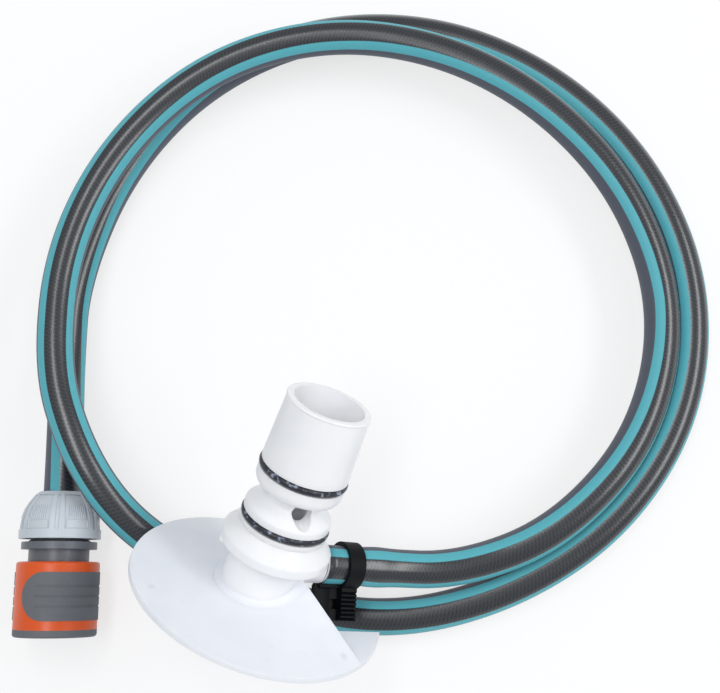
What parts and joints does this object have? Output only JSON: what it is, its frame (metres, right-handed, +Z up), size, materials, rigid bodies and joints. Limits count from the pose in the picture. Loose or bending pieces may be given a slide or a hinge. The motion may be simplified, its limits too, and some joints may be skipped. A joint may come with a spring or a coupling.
{
  "type": "pool cleaner",
  "caption": "Jet pool cleaner head: flared suction plate, drilled stem with sealing rings, and a coiled feed hose that ends in a quick connector.",
  "frame": {"origin": "on the floor, under the middle of the leaning head's box, without the hose and its connector", "axes": "+Z up, +Y away from the viewer of the picture, towards the far side of the hose loops, +X to the viewer's right"},
  "size_m": [0.3405, 0.3392, 0.1142],
  "materials": {
    "plate_white": "satin",
    "stem_white": "semi-gloss",
    "seal_rubber": "satin",
    "hose_pvc": "semi-gloss",
    "clip_nylon": "satin",
    "nut_grey": "satin",
    "body_grey": "satin",
    "sleeve_orange": "satin",
    "grip_grey": "matte",
    "jaw_white": "satin",
    "spring_steel": "satin"
  },
  "bodies": {
    "frame": {"suction_plate": "plate_white", "neck_body": "stem_white", "flow_tube": "stem_white", "lower_o_ring": "seal_rubber", "upper_o_ring": "seal_rubber", "hose": "hose_pvc", "hose_clamp": "clip_nylon", "connector_body": "body_grey", "inlet_barb": "stem_white", "barb_washer": "seal_rubber", "jet_nozzle": "stem_white", "sleeve_spring": "spring_steel"},
    "sleeve": {"release_sleeve": "sleeve_orange", "sleeve_grip_1": "grip_grey", "sleeve_grip_2": "grip_grey", "sleeve_end_ring": "grip_grey"},
    "jaw_1": {"locking_jaw_1": "jaw_white"},
    "jaw_2": {"locking_jaw_2": "jaw_white"},
    "jaw_3": {"locking_jaw_3": "jaw_white"},
    "collet": {"hose_collet": "jaw_white"},
    "nut": {"union_nut": "nut_grey"}
  },
  "joints": [
    {"name": "sleeve_slide", "type": "slide", "parent": "frame", "child": "sleeve", "axis": [0, 1, 0], "range_m": [0, 0.005], "stiffness_N_per_m": 600, "springref_m": -0.004, "deforming": ["sleeve_spring"]},
    {"name": "jaw_1_slide", "type": "slide", "parent": "frame", "child": "jaw_1", "axis": [0, 0, 1], "range_m": [0, 0.0012]},
    {"name": "jaw_2_slide", "type": "slide", "parent": "frame", "child": "jaw_2", "axis": [0.866, 0, -0.5], "range_m": [0, 0.0012]},
    {"name": "jaw_3_slide", "type": "slide", "parent": "frame", "child": "jaw_3", "axis": [-0.866, 0, -0.5], "range_m": [0, 0.0012]},
    {"name": "collet_slide", "type": "slide", "parent": "frame", "child": "collet", "axis": [0, 1, 0], "range_m": [0, 0.006]},
    {"name": "nut_turn", "type": "hinge", "parent": "collet", "child": "nut", "pos_m": [-0.0975, 0.0088, 0.0196], "axis": [0, 1, 0], "range_deg": [0, 720]}
  ],
  "couplings": [
    {"joint": "jaw_1_slide", "follows": "sleeve_slide", "ratio": 0.24},
    {"joint": "jaw_2_slide", "follows": "sleeve_slide", "ratio": 0.24},
    {"joint": "jaw_3_slide", "follows": "sleeve_slide", "ratio": 0.24},
    {"joint": "nut_turn", "follows": "collet_slide", "rad_per_m": 2094.4}
  ]
}
